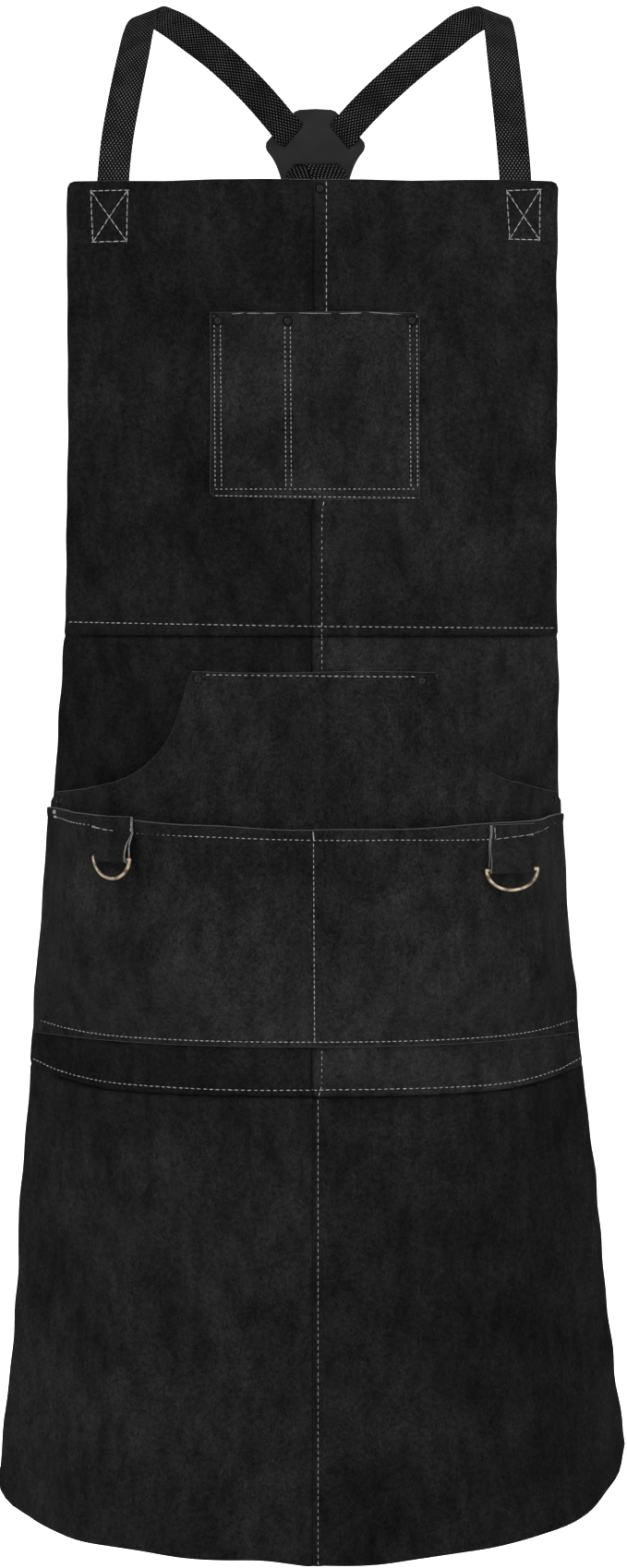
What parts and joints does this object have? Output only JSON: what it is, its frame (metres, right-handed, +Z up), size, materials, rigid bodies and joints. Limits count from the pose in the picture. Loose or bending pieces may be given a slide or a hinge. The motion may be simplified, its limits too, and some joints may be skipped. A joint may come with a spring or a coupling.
{
  "type": "welding apron",
  "caption": "Full-length split leather welding apron with crossed shoulder straps, leather back yoke, riveted pockets, hanging D-rings and side buckles.",
  "frame": {"origin": "midway between the two places where the shoulder straps rest on the shoulders, on the straps' crest", "axes": "+Z up; -Y out of the front of the apron, away from the wearer; +X to the right as the front is seen"},
  "size_m": [0.4983, 0.2591, 1.2169],
  "materials": {
    "split_leather": "matt napped suede, near black",
    "pocket_leather": "matt napped suede, near black",
    "loop_leather": "matt napped suede, near black, pale cut edge",
    "yoke_leather": "smooth satin black leather",
    "webbing": "woven black polyester webbing",
    "ring_brass": "antique brass plate, satin",
    "rivet_metal": "gloss black",
    "buckle_plastic": "satin moulded black acetal"
  },
  "bodies": {
    "apron": {"left_bib_panel": "split_leather", "right_bib_panel": "split_leather", "left_waist_panel": "split_leather", "right_waist_panel": "split_leather", "left_skirt_panel": "split_leather", "right_skirt_panel": "split_leather", "chest_pocket": "pocket_leather", "hand_pocket": "pocket_leather", "tool_pocket": "pocket_leather", "rivet_caps": "rivet_metal", "rivet_posts": "rivet_metal", "left_shoulder_strap": "webbing", "right_shoulder_strap": "webbing", "back_yoke": "yoke_leather", "left_waist_strap": "webbing", "right_waist_strap": "webbing", "left_waist_tab": "webbing", "right_waist_tab": "webbing", "left_buckle_socket": "buckle_plastic", "right_buckle_socket": "buckle_plastic", "left_loop_anchor": "loop_leather", "right_loop_anchor": "loop_leather"},
    "left_loop": {"left_tool_loop": "loop_leather"},
    "right_loop": {"right_tool_loop": "loop_leather"},
    "left_ring": {"left_d_ring": "ring_brass"},
    "right_ring": {"right_d_ring": "ring_brass"},
    "left_plug": {"left_buckle_plug": "buckle_plastic", "left_strap_tail": "webbing"},
    "right_plug": {"right_buckle_plug": "buckle_plastic", "right_strap_tail": "webbing"}
  },
  "joints": [
    {"name": "left_loop_lift", "type": "hinge", "parent": "apron", "child": "left_loop", "pos_m": [-0.15443, -0.1066, -0.6435], "axis": [-0.6691, 0.7431, 0], "range_deg": [0, 70]},
    {"name": "left_ring_swing", "type": "hinge", "parent": "left_loop", "child": "left_ring", "pos_m": [-0.1557, -0.10774, -0.6661], "axis": [-0.6691, 0.7431, 0], "range_deg": [0, 145]},
    {"name": "right_loop_lift", "type": "hinge", "parent": "apron", "child": "right_loop", "pos_m": [0.15258, -0.10197, -0.65], "axis": [-0.9272, -0.3746, 0], "range_deg": [0, 70]},
    {"name": "right_ring_swing", "type": "hinge", "parent": "right_loop", "child": "right_ring", "pos_m": [0.15322, -0.10354, -0.6752], "axis": [-0.9272, -0.3746, 0], "range_deg": [0, 145]},
    {"name": "left_buckle_release", "type": "slide", "parent": "apron", "child": "left_plug", "axis": [0.2199, 0.6997, 0.6797], "range_m": [0, 0.032], "deforming": ["left_waist_strap"]},
    {"name": "right_buckle_release", "type": "slide", "parent": "apron", "child": "right_plug", "axis": [-0.2199, 0.6997, 0.6797], "range_m": [0, 0.032], "deforming": ["right_waist_strap"]}
  ]
}
